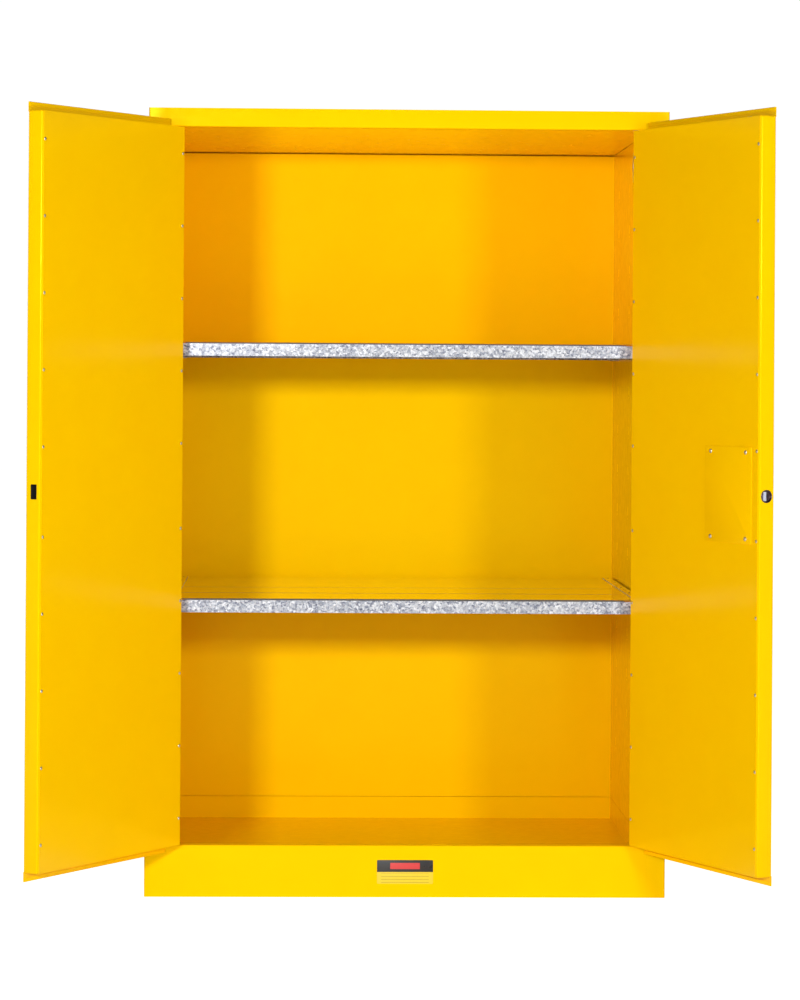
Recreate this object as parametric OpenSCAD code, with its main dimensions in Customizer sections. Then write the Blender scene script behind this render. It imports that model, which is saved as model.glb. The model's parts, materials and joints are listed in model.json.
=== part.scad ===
// Free-standing double-walled safety cabinet for flammable liquids.
// Two hinged doors with a three-point latch, two lift-off galvanised shelves,
// a leak-tight sump, two capped side vents and four levelling feet.
//
// Frame: +Z up, the front faces -Y, +X is to the right for someone facing the front.
// The origin is on the floor under the middle of the body.
//
// Door pieces are drawn in hinge coordinates and hung on their pin afterwards:
//   u runs from the hinge pin to the free edge, v from the outside to the inside, z up.

/* [Cabinet] */
// Width of the body
cabinet_w = 1092.2; // [900:0.1:1400]
// Depth of the body
cabinet_d = 863.6; // [640:0.1:1100]
// Height of the body
cabinet_h = 1651; // [1400:1:1900]
// Thickness of the double wall, from outside to inside
wall_t = 39; // [32:0.5:60]
// Thickness of the steel sheet
sheet_t = 1.2; // [0.9:0.1:2]
// Height of the rail under the doors
bottom_rail_h = 109; // [90:1:150]
// Depth of the leak-tight sump below that rail
sump_depth = 50.8; // [30:0.1:75]
// Width of the front flange of each outer side
corner_flange_w = 38; // [30:1:42]
// How far each door post stands in past the inner wall
post_lip = 5; // [3:0.5:20]

/* [Doors] */
// How far the left door stands open
left_open_angle = 122; // [95:1:175]
// How far the right door stands open
right_open_angle = 114.5; // [95:0.5:175]
// Thickness of each door, from skin to liner
door_t = 34.9; // [32:0.1:45]
// Gap between the two closed doors
centre_gap = 4; // [3:0.5:8]
// Gap between a door's plug and the rails above and below it
plug_gap = 3.5; // [3:0.1:6]
// How far each skin laps over the rails beyond the plug
lap_h = 18.5; // [14:0.5:24]
// Gap between the closed skin and the face of the posts
skin_gap = 2; // [1.6:0.1:3]
// Height of the folded hem along each lap
hem_h = 8; // [5:0.5:12]
// Width of the skin's return flange under the liner
return_w = 20; // [16:1:30]
// Distance from the free edge to the edge of the liner
liner_inset = 4.6; // [3:0.1:8]

/* [Hinges] */
// Thickness of the hinge leaves
leaf_t = 1.5; // [1:0.1:2.5]
// Gap between the closed leaves
leaf_gap = 0.8; // [0.6:0.1:1.5]
// Depth of the hinge leaves
leaf_w = 30; // [20:1:33]
// Outside diameter of the knuckles
knuckle_d = 7; // [6:0.1:9]
// Diameter of the hinge pin
hinge_pin_d = 3; // [2:0.1:4]
// Number of knuckles in each hinge, an odd number
knuckle_n = 29; // [15:2:41]

/* [Door rivets] */
// Rivets above the middle of each row, and as many below it
rivet_n = 5; // [3:1:6]
// Distance from the end of the plug to the last rivet
rivet_end_gap = 55.5; // [25:0.5:90]
// Distance between the two rivets at the middle
rivet_mid_gap = 177; // [100:1:200]
// Diameter of a rivet's head
rivet_head_d = 7; // [5:0.5:9]
// Distance from the free edge to its row of rivets
rivet_edge = 9.7; // [8:0.1:14]

/* [Latch] */
// Distance from the free edge to the handle's spindle and the rods
spindle_inset = 71; // [62:0.5:90]
// Width of the latch rods
rod_w = 25; // [20:1:27]
// Thickness of the latch rods
rod_t = 5; // [4:0.5:6]
// Travel of each latch rod
rod_travel = 19; // [14:0.5:22]
// Travel of the centre bolt
bolt_travel = 12; // [10:0.5:14]
// Height of the centre bolt
bolt_h = 18; // [16:1:24]
// Thickness of the centre bolt
bolt_t = 11; // [8:0.5:13]
// Outside diameter of the barrel round the centre bolt
barrel_d = 26; // [26:0.5:32]
// Half of the handle's turn
half_turn = 30; // [25:1:35]
// Width of the access plate over the latch
plate_w = 174; // [150:1:200]
// Height of the access plate over the latch
plate_h = 192; // [160:1:230]
// Distance from the free edge to the access plate
plate_inset = 27; // [24:1:40]
// Length of the handle's lever
lever_len = 118; // [90:1:140]
// Width of the strike slot in the left door
strike_w = 15; // [12.5:0.5:18]
// Height of the strike slot in the left door
strike_h = 29.5; // [25:0.5:34]

/* [Shelves] */
// Height of the lowest shelf slot
slot_z0 = 253; // [180:1:300]
// Distance between shelf slots
slot_pitch = 90; // [80:1:96]
// Number of slots in each column
slot_n = 15; // [12:1:15]
// Slot that carries the lower shelf, counted from 0
lower_slot = 4; // [2:1:6]
// Slot that carries the upper shelf, counted from 0
upper_slot = 10; // [8:1:12]
// Height of a shelf's top above its slot
shelf_over_slot = 10.5; // [6:0.5:14]
// Height of a shelf's front lip
lip_h = 31; // [26:0.5:40]
// Thickness of the shelf steel
shelf_t = 1.5; // [1.2:0.1:2]
// Gap between a shelf and each side wall
shelf_side_gap = 4; // [3.5:0.1:8]
// Distance from the front of the body to a shelf's lip
shelf_setback = 39.8; // [39.5:0.1:80]
// Gap between a shelf and the back wall
shelf_back_gap = 20; // [5:1:60]
// Number of planks in each shelf
plank_n = 4; // [3:1:6]
// Gap between neighbouring planks
plank_gap = 3; // [2:0.5:6]
// Width of the strip over the ends of the planks
strip_w = 19; // [15:0.5:26]

/* [Vents, feet and label] */
// Bore of each vent
vent_bore_d = 50.8; // [38:0.1:60]
// Height of the low vent's axis
vent_low_z = 195; // [170:1:260]
// Distance of the high vent's axis below the top
vent_top_drop = 96; // [91:1:350]
// Diameter of the levelling feet's pads
foot_d = 40; // [30:1:50]
// Travel of the levelling feet
foot_travel = 20; // [10:1:25]
// Diameter of the grounding stud
stud_d = 6; // [5:0.5:8]
// Free length of the grounding stud beyond its nut
stud_free = 10; // [8:0.5:16]
// Width of the front label
label_w = 117.5; // [80:0.5:150]
// Height of the front label
label_h = 50; // [30:0.5:60]

/* [Hidden] */
$fn = 48;
half_w = cabinet_w / 2;
half_d = cabinet_d / 2;
front_y = -half_d;
post_w = wall_t + post_lip;
inner_x = half_w - wall_t;
inner_y = half_d - wall_t;
ceiling_z = cabinet_h - wall_t;
vent_high_z = cabinet_h - vent_top_drop;
sump_floor_z = bottom_rail_h - sump_depth;
middle_z = (bottom_rail_h + ceiling_z) / 2;
sheet_gap = 0.3;
seam_gap = 0.8;
back_seam_gap = 2;

// Hinge line of the right door; the left one is its mirror image
opening_x = half_w - post_w;
pin_x = opening_x - leaf_t - leaf_gap / 2;
pin_y = front_y - knuckle_d / 2 - 0.5;
pin_clear = 0.05;
leaf_u = leaf_gap / 2 + leaf_t;

// Door faces in hinge coordinates
skin_in_v = front_y - skin_gap - pin_y;
skin_v = skin_in_v - sheet_t;
liner_v = skin_v + door_t;
under_liner_v = liner_v - sheet_t;
edge_u = pin_x - centre_gap / 2;
skin_u = knuckle_d / 2 + 0.7;
side_v = knuckle_d / 2 + 0.5;
plug_top = ceiling_z - plug_gap;
plug_bottom = bottom_rail_h + plug_gap;
plug_l = plug_top - plug_bottom;
rivet_pitch = (plug_l / 2 - rivet_mid_gap / 2 - rivet_end_gap) / (rivet_n - 1);
mid_v = (skin_v + liner_v) / 2;
liner_edge_u = edge_u - liner_inset;
rivet_shank_d = 3.2;
rivet_rows_u = [leaf_u + 4.2, edge_u - rivet_edge];

// Latch
spindle_u = edge_u - spindle_inset;
rod_v = mid_v;
rod_rest_out = 2.5;
crank_r = rod_travel / (2 * sin(half_turn));
bolt_crank_r = bolt_travel / (2 * sin(half_turn));
crank_pin_d = 6;
spindle_d = 12;
cam_t = 4;
cam_gap = 0.8;
cam_v = rod_v - rod_t / 2 - cam_gap - cam_t;
cam_r = crank_r + crank_pin_d / 2 + 3;
yoke_w = crank_pin_d + crank_r * (1 - cos(half_turn)) + 7;
yoke_h = crank_pin_d + 10;
yoke_reach = crank_r * (1 + cos(half_turn)) / 2 + yoke_w / 2;
slot_play = 0.6;
case_half_u = max(cam_r, yoke_reach) + 14;
case_half_z = cam_r + rod_travel + 10;
case_v0 = skin_in_v;
case_v1 = under_liner_v - 4;
case_t = 2;
bolt_v = mid_v + 1.2;
tail_t = 3;
tail_v = rod_v + rod_t / 2 + 0.8;
barrel_len = 20;
barrel_wall = 1.5;
bolt_recess = 0.8;
guide_offset = 75;
guide_t = 3;
plate_u = edge_u - plate_inset - plate_w / 2;
plate_screw_u = plate_w / 2 - 21.5;
plate_screw_z = plate_h / 2 - 10.5;
plate_screw_d = 4;
plate_margin = 35;
screw_play = 0.15;
lever_gap = 17;
lever_t = 12;
hub_d = 36;
key_d = 16;

// Shelves
slot_cols = [for (k = [-1, 0, 1]) 17 + k * (inner_y - 145)];
clip_cols = [slot_cols[0], slot_cols[2]];
slot_h = 18;
slot_w = 6;
slot_hole_d = 4;
slot_hole_drop = 16;
slot_heights = [for (k = [0:slot_n - 1]) slot_z0 + k * slot_pitch];
shelf_x = inner_x - shelf_side_gap;
shelf_y0 = front_y + shelf_setback;
shelf_y1 = inner_y - shelf_back_gap;
plank_pitch = (shelf_y1 - shelf_y0 + plank_gap) / plank_n;
plank_w = plank_pitch - plank_gap;
plank_r = 4;
plank_flange = 14;
shelf_rivet_d = 6;
shelf_rivet_edge = 30;
clip_w = 24;
clip_t = 2;

// Vents, feet, stud and label
vent_y = (slot_cols[0] + slot_cols[1]) / 2;
vent_wall = 3;
vent_flange_d = vent_bore_d + 24;
cap_out = 7;
foot_inset = 60;
foot_pad_h = 8;
foot_stud_d = 12;
foot_hole_d = foot_d + 8;
boss_h = 10;
boss_d = 26;
boss_z = sump_floor_z - sheet_t - 22;
stud_y = half_d - 70;
stud_z = 75;
stud_nut_h = 5;
stud_shank_d = stud_d - 1;
label_t = 0.4;
label_z = 53.2;
cap_gap = 0.08;

yellow = [1.0, 0.78, 0.0];
zinc = [0.75, 0.77, 0.79];
steel = [0.62, 0.63, 0.65];
black = [0.1, 0.1, 0.11];

// ---------- helpers ----------

// A box between two opposite corners
module span(low, high) {
    translate(low) cube(high - low);
}

// Draws right-hand pieces for side 1 and their mirror image for side -1
module on_side(side) {
    mirror([side < 0 ? 1 : 0, 0, 0]) children();
}

// Hangs a piece drawn in hinge coordinates on its pin, at the door's rest angle
module hung(side) {
    translate([side * pin_x, pin_y, 0])
        mirror([side > 0 ? 1 : 0, 0, 0])
            rotate([0, 0, side > 0 ? -right_open_angle : -left_open_angle])
                children();
}

// A round bar along v, from v0 to v1
module along_v(d, v0, v1) {
    translate([0, v0, 0]) rotate([-90, 0, 0]) cylinder(h = v1 - v0, d = d);
}

// A round bar along u, from u0 to u1
module along_u(d, u0, u1) {
    translate([u0, 0, 0]) rotate([0, 90, 0]) cylinder(h = u1 - u0, d = d);
}

// A low domed head standing on z = 0, with its shank below
module fastener(head_d, head_h, shank_d, shank_l) {
    ball_r = (head_d * head_d / 4 + head_h * head_h) / (2 * head_h);
    arc_deg = asin(head_d / 2 / ball_r);
    rotate_extrude($fn = 24)
        polygon(concat(
            [[0, 0]],
            [for (k = [0:4])
                let (a = arc_deg * (1 - k / 4))
                [ball_r * sin(a), head_h - ball_r + ball_r * cos(a)]]
        ));
    translate([0, 0, -shank_l]) cylinder(h = shank_l, d = shank_d, $fn = 24);
}

// ---------- body ----------

module outer_side(side) {
    color(yellow) on_side(side) difference() {
        union() {
            span([half_w - sheet_t, front_y, 0], [half_w, half_d, cabinet_h]);
            span([half_w - corner_flange_w, front_y, 0], [half_w, front_y + sheet_t, cabinet_h]);
            span([half_w - 20, half_d - 2 * sheet_t, 0],
                 [half_w, half_d - sheet_t, cabinet_h - sheet_t]);
        }
        span([half_w - sheet_t - 1, half_d - sheet_t, -1], [half_w + 1, half_d + 1, cabinet_h + 1]);
        span([half_w - 21, half_d - 2 * sheet_t - 1, cabinet_h - 20],
             [half_w - sheet_t, half_d + 1, cabinet_h + 1]);
        translate([half_w - 5, vent_y, side < 0 ? vent_low_z : vent_high_z])
            along_u(vent_bore_d + 2 * vent_wall, 0, 10);
        if (side > 0)
            translate([half_w - 5, stud_y, stud_z]) along_u(stud_shank_d, 0, 10);
    }
}

module outer_side_left() {
    outer_side(-1);
}

module outer_side_right() {
    outer_side(1);
}

module outer_back() {
    color(yellow)
        span([-half_w, half_d - sheet_t, 0], [half_w, half_d, cabinet_h]);
}

module outer_top() {
    color(yellow)
        span([-half_w + sheet_t, front_y + sheet_t, cabinet_h - sheet_t],
             [half_w - sheet_t, half_d - sheet_t, cabinet_h]);
}

module base_pan() {
    pan_x = half_w - sheet_t;
    pan_y0 = front_y + wall_t;
    pan_y1 = half_d - 2 * sheet_t;
    color(yellow) difference() {
        union() {
            span([-pan_x, pan_y0, 0], [pan_x, pan_y1, 2 * sheet_t]);
            for (sx = [-1, 1])
                on_side(sx)
                    span([pan_x - sheet_t, pan_y0, 0], [pan_x, pan_y1, 30]);
            for (p = foot_places()) translate([p[0], p[1], 0]) {
                translate([0, 0, boss_z]) cylinder(h = boss_h, d = boss_d);
                for (a = [0, 90, 180, 270]) rotate([0, 0, a])
                    span([foot_hole_d / 2 + 1, -8, 0], [foot_hole_d / 2 + 3, 8, boss_z + 3]);
                for (a = [0, 90]) rotate([0, 0, a])
                    span([-foot_hole_d / 2 - 3, -8, boss_z], [foot_hole_d / 2 + 3, 8, boss_z + 3]);
            }
        }
        for (p = foot_places()) translate([p[0], p[1], -1]) {
            cylinder(h = 2 * sheet_t + 2, d = foot_hole_d);
            cylinder(h = boss_z + boss_h + 2, d = foot_stud_d + 2 * pin_clear);
        }
    }
}

module liner_side(side) {
    color(yellow) on_side(side) difference() {
        span([inner_x, front_y + wall_t, bottom_rail_h],
             [inner_x + sheet_t, inner_y, ceiling_z - seam_gap]);
        for (y = slot_cols) for (z = slot_heights) translate([inner_x, y, z]) {
            span([-1, -slot_w / 2, -slot_h / 2], [sheet_t + 1, slot_w / 2, slot_h / 2]);
            translate([0, 0, -slot_hole_drop]) along_u(slot_hole_d, -1, sheet_t + 1);
        }
        translate([inner_x, vent_y, side < 0 ? vent_low_z : vent_high_z])
            along_u(vent_bore_d + 2 * vent_wall, -1, sheet_t + 1);
    }
}

module liner_left() {
    liner_side(-1);
}

module liner_right() {
    liner_side(1);
}

module liner_back() {
    color(yellow)
        span([-inner_x, inner_y, bottom_rail_h], [inner_x, inner_y + sheet_t, ceiling_z - back_seam_gap]);
}

module liner_ceiling() {
    color(yellow)
        span([-inner_x, front_y + wall_t, ceiling_z], [inner_x, inner_y, ceiling_z + sheet_t]);
}

module sump_tray() {
    tray_z1 = bottom_rail_h - 0.8;
    color(yellow) difference() {
        span([-inner_x - sheet_t, front_y + wall_t, sump_floor_z - sheet_t],
             [inner_x + sheet_t, inner_y + sheet_t, tray_z1]);
        span([-inner_x, front_y + wall_t + sheet_t, sump_floor_z],
             [inner_x, inner_y, bottom_rail_h + 1]);
    }
}

// Place of the rod slots in the rails
rod_slot_x = pin_x - spindle_u;
rod_slot_y = pin_y + rod_v;

module rod_slot(z) {
    slot_half_x = rod_w / 2 + 3;
    slot_half_y = rod_t / 2 + 2.5;
    span([rod_slot_x - slot_half_x, rod_slot_y - slot_half_y, z - 3],
         [rod_slot_x + slot_half_x, rod_slot_y + slot_half_y, z + 3]);
}

module top_rail() {
    rail_x = half_w - corner_flange_w - seam_gap;
    color(yellow) difference() {
        union() {
            span([-rail_x, front_y, ceiling_z], [rail_x, front_y + sheet_t, cabinet_h]);
            span([-rail_x, front_y, ceiling_z], [rail_x, front_y + wall_t, ceiling_z + sheet_t]);
            span([-rail_x, front_y + wall_t - sheet_t, ceiling_z],
                 [rail_x, front_y + wall_t, cabinet_h - sheet_t]);
        }
        rod_slot(ceiling_z);
    }
}

module bottom_rail() {
    rail_x = half_w - corner_flange_w - seam_gap;
    color(yellow) difference() {
        union() {
            span([-rail_x, front_y, 0], [rail_x, front_y + sheet_t, bottom_rail_h]);
            span([-rail_x, front_y, bottom_rail_h - sheet_t],
                 [rail_x, front_y + wall_t, bottom_rail_h]);
            span([-rail_x, front_y + wall_t - sheet_t, 0],
                 [rail_x, front_y + wall_t, bottom_rail_h]);
        }
        rod_slot(bottom_rail_h);
    }
}

module door_post(side) {
    color(yellow) on_side(side) {
        post_x1 = half_w - sheet_t;
        post_y0 = front_y + sheet_t;
        post_y1 = front_y + wall_t;
        span([opening_x, post_y0, bottom_rail_h], [post_x1, post_y0 + sheet_t, ceiling_z]);
        span([opening_x, post_y0, bottom_rail_h], [opening_x + sheet_t, post_y1, ceiling_z]);
        span([opening_x, post_y1 - sheet_t, bottom_rail_h], [post_x1, post_y1, ceiling_z]);
    }
}

module door_post_left() {
    door_post(-1);
}

module door_post_right() {
    door_post(1);
}

// ---------- hinges ----------

knuckle_pitch = plug_l / knuckle_n;
knuckle_l = knuckle_pitch - 0.5;

function knuckle_z(k) = plug_bottom + k * knuckle_pitch + 0.25;

// One leaf of a full-length hinge in hinge coordinates.
// first is 0 for the leaf with the end knuckles and 1 for the other leaf; side_u is -1 or 1.
module hinge_leaf(first, side_u) {
    u0 = side_u < 0 ? -leaf_u : leaf_gap / 2;
    u1 = side_u < 0 ? -leaf_gap / 2 : leaf_u;
    clear_v = knuckle_d / 2 + 0.35;
    difference() {
        union() {
            span([u0, clear_v, plug_bottom], [u1, leaf_w, plug_top]);
            for (k = [first:2:knuckle_n - 1]) {
                translate([0, 0, knuckle_z(k)]) cylinder(h = knuckle_l, d = knuckle_d);
                span([u0, 0, knuckle_z(k)], [u1, clear_v + 1, knuckle_z(k) + knuckle_l]);
            }
        }
        translate([0, 0, plug_bottom - 1]) cylinder(h = plug_l + 2, d = hinge_pin_d + 2 * pin_clear);
    }
}

module post_leaf(side) {
    color(steel) translate([side * pin_x, pin_y, 0])
        mirror([side > 0 ? 1 : 0, 0, 0])
            hinge_leaf(0, -1);
}

module post_leaf_left() {
    post_leaf(-1);
}

module post_leaf_right() {
    post_leaf(1);
}

module hinge_pin(side) {
    color(steel) translate([side * pin_x, pin_y, plug_bottom + 0.5])
        cylinder(h = plug_l - 1, d = hinge_pin_d);
}

module hinge_pin_left() {
    hinge_pin(-1);
}

module hinge_pin_right() {
    hinge_pin(1);
}

module door_leaf_left() {
    color(steel) hung(-1) hinge_leaf(1, 1);
}

module door_leaf_right() {
    color(steel) hung(1) hinge_leaf(1, 1);
}

// ---------- doors ----------

// Runs its children at every rivet of a door, with the head's axis along v
module rivet_places() {
    for (u = rivet_rows_u) for (way = [-1, 1]) for (k = [0:rivet_n - 1])
        translate([u, liner_v, middle_z + way * (rivet_mid_gap / 2 + k * rivet_pitch)])
            rotate([-90, 0, 0])
                children();
}

module rivet_holes() {
    rivet_places() translate([0, 0, -6]) cylinder(h = 8, d = rivet_shank_d, $fn = 24);
}

// Cross-section of a skin: face, hinge side, free edge and the two return flanges
module skin_section() {
    translate([skin_u, skin_v]) square([edge_u - skin_u, sheet_t]);
    translate([skin_u, skin_v]) square([sheet_t, side_v + sheet_t - skin_v]);
    translate([leaf_u, side_v]) square([skin_u + sheet_t - leaf_u, sheet_t]);
    translate([leaf_u, side_v]) square([sheet_t, under_liner_v - side_v]);
    translate([leaf_u, under_liner_v - sheet_t]) square([return_w, sheet_t]);
    translate([edge_u - sheet_t, skin_v]) square([sheet_t, under_liner_v - skin_v]);
    translate([edge_u - return_w, under_liner_v - sheet_t]) square([return_w, sheet_t]);
}

// Folded hem inside a lap, with mitred ends; it stands on z0 and rises by hem_h
module hem(z0, mitre_up) {
    long_u0 = skin_u + 1;
    long_u1 = edge_u - 1;
    short_u0 = long_u0 + hem_h;
    short_u1 = long_u1 - hem_h;
    low = mitre_up ? [short_u0, short_u1] : [long_u0, long_u1];
    high = mitre_up ? [long_u0, long_u1] : [short_u0, short_u1];
    translate([0, skin_in_v + sheet_t, z0]) rotate([90, 0, 0]) linear_extrude(height = sheet_t)
        polygon([[low[0], 0], [low[1], 0], [high[1], hem_h], [high[0], hem_h]]);
}

module door_skin() {
    end_gap = sheet_t + sheet_gap;
    difference() {
        union() {
            translate([0, 0, plug_bottom + end_gap])
                linear_extrude(height = plug_l - 2 * end_gap) skin_section();
            span([skin_u, skin_v, plug_bottom - lap_h], [edge_u, skin_in_v, plug_top + lap_h]);
        }
        rivet_holes();
        children();
    }
    hem(plug_top + lap_h - hem_h, true);
    hem(plug_bottom - lap_h, false);
}

module door_liner() {
    cap_u0 = skin_u + sheet_t + sheet_gap;
    cap_u1 = edge_u - sheet_t - sheet_gap;
    difference() {
        union() {
            span([leaf_u, under_liner_v, plug_bottom], [liner_edge_u, liner_v, plug_top]);
            for (z = [plug_bottom, plug_top - sheet_t])
                span([cap_u0, skin_in_v + sheet_gap, z], [cap_u1, liner_v - sheet_t / 2, z + sheet_t]);
        }
        rivet_holes();
        children();
    }
}

module door_rivets() {
    color(zinc) rivet_places()
        fastener(rivet_head_d, 1.6, rivet_shank_d, 2 * sheet_t + 1.5);
}

// Upright hat channel between the skin and the liner
module door_stiffener() {
    hat_u = edge_u / 2 - 30;
    hat_w = 50;
    hat_z0 = plug_bottom + 30;
    hat_z1 = plug_top - 30;
    hat_v1 = under_liner_v - 0.5;
    color(zinc) {
        span([hat_u, hat_v1 - sheet_t, hat_z0], [hat_u + hat_w, hat_v1, hat_z1]);
        for (u = [hat_u, hat_u + hat_w - sheet_t])
            span([u, skin_in_v, hat_z0], [u + sheet_t, hat_v1, hat_z1]);
        for (u = [hat_u - 15, hat_u + hat_w - sheet_t])
            span([u, skin_in_v, hat_z0], [u + 15 + sheet_t, skin_in_v + sheet_t, hat_z1]);
    }
}

module left_door_skin() {
    color(yellow) hung(-1) door_skin() {
        span([edge_u - 5, bolt_v - strike_w / 2, middle_z - strike_h / 2],
             [edge_u + 1, bolt_v + strike_w / 2, middle_z + strike_h / 2]);
    }
}

module left_door_liner() {
    color(yellow) hung(-1) door_liner();
}

module left_door_rivets() {
    hung(-1) door_rivets();
}

module left_door_stiffener() {
    hung(-1) door_stiffener();
}

// Pocket behind the strike slot
module strike_box() {
    box_t = 1.5;
    box_depth = bolt_travel + 8;
    u1 = edge_u - sheet_t;
    color(black) hung(-1) difference() {
        span([u1 - box_depth, bolt_v - strike_w / 2 - box_t, middle_z - strike_h / 2 - box_t],
             [u1, bolt_v + strike_w / 2 + box_t, middle_z + strike_h / 2 + box_t]);
        span([u1 - box_depth + box_t, bolt_v - strike_w / 2, middle_z - strike_h / 2],
             [u1 + 1, bolt_v + strike_w / 2, middle_z + strike_h / 2]);
    }
}

module plate_screw_holes() {
    for (sx = [-1, 1]) for (sz = [-1, 1])
        translate([plate_u + sx * plate_screw_u, 0, middle_z + sz * plate_screw_z])
            along_v(plate_screw_d + 2 * screw_play, liner_v - 5, liner_v + 5);
}

module right_door_skin() {
    color(yellow) hung(1) door_skin() {
        translate([0, mid_v, middle_z]) along_u(barrel_d + 0.1, edge_u - 5, edge_u + 5);
        translate([spindle_u, 0, middle_z]) along_v(spindle_d + 3, skin_v - 3, skin_v + 5);
    }
}

module right_door_liner() {
    rod_hole_u = rod_w / 2 + 1.5;
    rod_hole_v = rod_t / 2 + 1.5;
    hatch_u = plate_w / 2 - plate_margin;
    hatch_z = plate_h / 2 - plate_margin / 1.5;
    color(yellow) hung(1) door_liner() {
        span([spindle_u - rod_hole_u, rod_v - rod_hole_v, plug_bottom - 1],
             [spindle_u + rod_hole_u, rod_v + rod_hole_v, plug_top + 1]);
        span([plate_u - hatch_u, liner_v - 5, middle_z - hatch_z],
             [plate_u + hatch_u, liner_v + 1, middle_z + hatch_z]);
        plate_screw_holes();
    }
}

module right_door_rivets() {
    hung(1) door_rivets();
}

module right_door_stiffener() {
    hung(1) door_stiffener();
}

module access_plate() {
    color(yellow) hung(1) difference() {
        span([plate_u - plate_w / 2, liner_v, middle_z - plate_h / 2],
             [plate_u + plate_w / 2, liner_v + sheet_t, middle_z + plate_h / 2]);
        plate_screw_holes();
    }
}

module access_plate_screws() {
    color(zinc) hung(1)
        for (sx = [-1, 1]) for (sz = [-1, 1])
            translate([plate_u + sx * plate_screw_u, liner_v + sheet_t,
                       middle_z + sz * plate_screw_z])
                rotate([-90, 0, 0])
                    fastener(9, 2.2, plate_screw_d, 5);
}

// ---------- latch ----------

// Open tray that carries the latch on the inside of the skin
module lock_case() {
    tail_half = bolt_crank_r + 8;
    color(zinc) hung(1) difference() {
        span([spindle_u - case_half_u, case_v0, middle_z - case_half_z],
             [spindle_u + case_half_u, case_v1, middle_z + case_half_z]);
        span([spindle_u - case_half_u + case_t, case_v0 + case_t, middle_z - case_half_z + case_t],
             [spindle_u + case_half_u - case_t, case_v1 + 1, middle_z + case_half_z - case_t]);
        span([spindle_u - yoke_reach - 2, rod_v - rod_t / 2 - 1, middle_z - case_half_z - 1],
             [spindle_u + yoke_reach + 2, case_v1 + 1, middle_z + case_half_z + 1]);
        span([spindle_u, tail_v - 8, middle_z - tail_half - 6],
             [spindle_u + case_half_u + 1, case_v1 + 1, middle_z + tail_half + 6]);
        translate([spindle_u, 0, middle_z])
            along_v(spindle_d + 2 * pin_clear, case_v0 - 1, case_v0 + case_t + 1);
    }
}

// Round barrel in the free edge, with a recessed guide block for the centre bolt
module latch_barrel() {
    play = 0.4;
    u1 = edge_u + 0.6;
    guide_front = 4;
    color(steel) hung(1) difference() {
        translate([0, mid_v, middle_z]) along_u(barrel_d, u1 - barrel_len, u1);
        translate([0, mid_v, middle_z])
            along_u(barrel_d - 2 * barrel_wall, u1 - guide_front, u1 + 1);
        span([u1 - barrel_len - 1, bolt_v - bolt_t / 2 - play, middle_z - bolt_h / 2 - play],
             [u1 + 1, bolt_v + bolt_t / 2 + play, middle_z + bolt_h / 2 + play]);
    }
}

// Two blocks that guide the rods near the ends of the door
module rod_guides() {
    play = 0.6;
    color(zinc) hung(1) for (z = [plug_bottom + guide_offset, plug_top - guide_offset])
        difference() {
            span([spindle_u - rod_w / 2 - 8, skin_in_v, z - 10],
                 [spindle_u + rod_w / 2 + 8, rod_v + rod_t / 2 + guide_t, z + 10]);
            span([spindle_u - rod_w / 2 - play, rod_v - rod_t / 2 - play, z - 11],
                 [spindle_u + rod_w / 2 + play, rod_v + rod_t / 2 + play, z + 11]);
        }
}

module handle_plate() {
    escutcheon_h = 150;
    escutcheon_w = 54;
    color(black) hung(1) difference() {
        translate([spindle_u, skin_v, middle_z - 14]) rotate([90, 0, 0])
            linear_extrude(height = 3) union() {
                square([escutcheon_w, escutcheon_h - escutcheon_w], center = true);
                for (way = [-1, 1])
                    translate([0, way * (escutcheon_h - escutcheon_w) / 2])
                        circle(d = escutcheon_w);
            }
        translate([spindle_u, 0, middle_z])
            along_v(spindle_d + 2 * pin_clear, skin_v - 5, skin_v + 1);
    }
}

// Draws the turning pieces about the spindle, at their unlatched position
module on_spindle() {
    hung(1) translate([spindle_u, 0, middle_z]) children();
}

module handle_lever() {
    hub_v0 = skin_v - 3.4 - lever_gap;
    hub_v1 = skin_v - 3.4;
    color(black) on_spindle() difference() {
        union() {
            along_v(hub_d, hub_v0 - lever_t, hub_v1);
            rotate([0, 2 * half_turn, 0]) rotate([90, 0, 0])
                translate([0, 0, 1 - hub_v0]) linear_extrude(height = lever_t - 2)
                    union() {
                        polygon([[-13, 0], [13, 0], [9, -lever_len], [-9, -lever_len]]);
                        translate([0, -lever_len]) circle(r = 11);
                    }
        }
        along_v(key_d + 0.16, hub_v0 - lever_t - 1, hub_v0 - lever_t + 12);
        along_v(spindle_d, hub_v1 - 12, hub_v1 + 1);
    }
}

// Spindle, cam and the three crank pins, as one turned and welded piece
module handle_spindle() {
    pin_v1 = rod_v + rod_t / 2 + 0.3;
    tail_pin_v1 = tail_v + tail_t + 0.5;
    spindle_v0 = skin_v - 3.4 - 12;
    color(zinc) on_spindle() {
        along_v(spindle_d, spindle_v0, rod_v + rod_t / 2);
        along_v(2 * cam_r, cam_v, cam_v + cam_t);
        for (way = [-1, 1])
            translate([way * crank_r * cos(half_turn), 0, -way * crank_r * sin(half_turn)])
                along_v(crank_pin_d, cam_v, pin_v1);
        translate([-bolt_crank_r * sin(half_turn), 0, -bolt_crank_r * cos(half_turn)])
            along_v(5, cam_v, tail_pin_v1);
    }
}

module key_cylinder() {
    face_v = skin_v - 3.4 - lever_gap - lever_t;
    color(zinc) on_spindle() difference() {
        along_v(key_d, face_v - 2, face_v + 11);
        span([-1.1, face_v - 3, -4.5], [1.1, face_v + 5, 4.5]);
    }
}

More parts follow.
